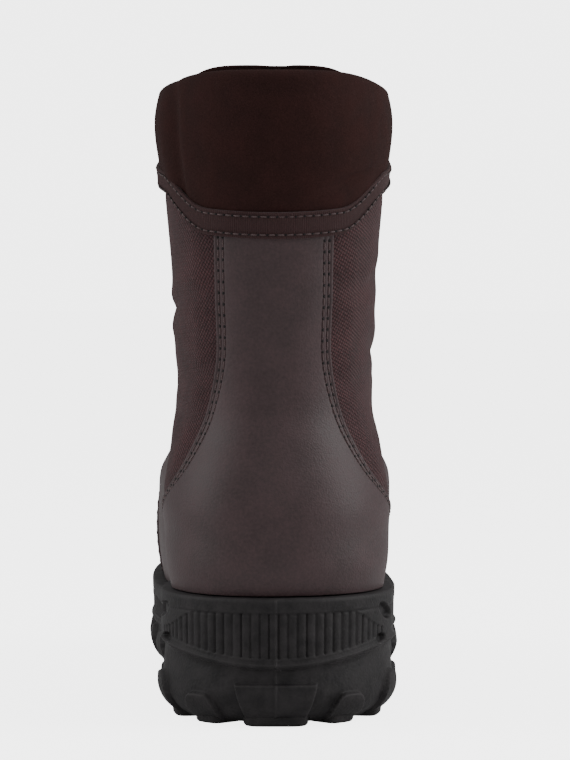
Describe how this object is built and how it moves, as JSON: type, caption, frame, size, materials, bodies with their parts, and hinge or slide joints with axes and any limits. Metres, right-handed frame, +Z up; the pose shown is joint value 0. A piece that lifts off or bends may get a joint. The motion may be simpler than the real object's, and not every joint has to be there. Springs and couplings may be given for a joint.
{
  "type": "insulated hunting boot",
  "caption": "Insulated lace-up hunting boot for the right foot, with a padded collar, woven nylon quarters, leather foot and a deep lugged rubber sole.",
  "frame": {"origin": "middle of the footprint, on the ground", "axes": "+Z up, +Y toward the toe, +X toward the lateral (outer) side"},
  "size_m": [0.1068, 0.312, 0.2575],
  "materials": {
    "sole_rubber": "matte black, finely mottled",
    "shank_steel": "plain spring steel",
    "board": "stiff fibre board",
    "footbed_cloth": "brushed knit over foam",
    "wadding": "lofted insulating fibre",
    "lining_cloth": "brushed knit",
    "smooth_leather": "smooth dark brown, low sheen",
    "collar_cloth": "soft brushed, very dark brown",
    "ribbed_tape": "ribbed woven tape",
    "woven_nylon": "coarse woven nylon, dark brown",
    "dark_metal": "dark blackened metal"
  },
  "bodies": {
    "boot": {"outsole": "sole_rubber", "midsole": "sole_rubber", "shank": "shank_steel", "insole_board": "board", "heel_stiffener": "board", "toe_puff": "board", "insulation": "wadding", "lining": "lining_cloth", "heel_counter": "smooth_leather", "vamp": "smooth_leather", "toe_cap": "smooth_leather", "collar": "collar_cloth", "collar_binding": "ribbed_tape", "tongue": "woven_nylon", "quarter_lateral": "woven_nylon", "eyestay_lateral": "smooth_leather", "gusset_lateral": "lining_cloth", "eyelet_lateral_1": "dark_metal", "eyelet_lateral_2": "dark_metal", "eyelet_lateral_3": "dark_metal", "eyelet_lateral_4": "dark_metal", "hook_lateral_1": "dark_metal", "hook_lateral_2": "dark_metal", "hook_lateral_3": "dark_metal", "quarter_medial": "woven_nylon", "eyestay_medial": "smooth_leather", "gusset_medial": "lining_cloth", "eyelet_medial_1": "dark_metal", "eyelet_medial_2": "dark_metal", "eyelet_medial_3": "dark_metal", "eyelet_medial_4": "dark_metal", "hook_medial_1": "dark_metal", "hook_medial_2": "dark_metal", "hook_medial_3": "dark_metal"},
    "footbed": {"footbed": "footbed_cloth"}
  },
  "joints": [
    {"name": "footbed_lift", "type": "slide", "parent": "boot", "child": "footbed", "axis": [0, 0, 1], "range_m": [0, 0.012]}
  ]
}
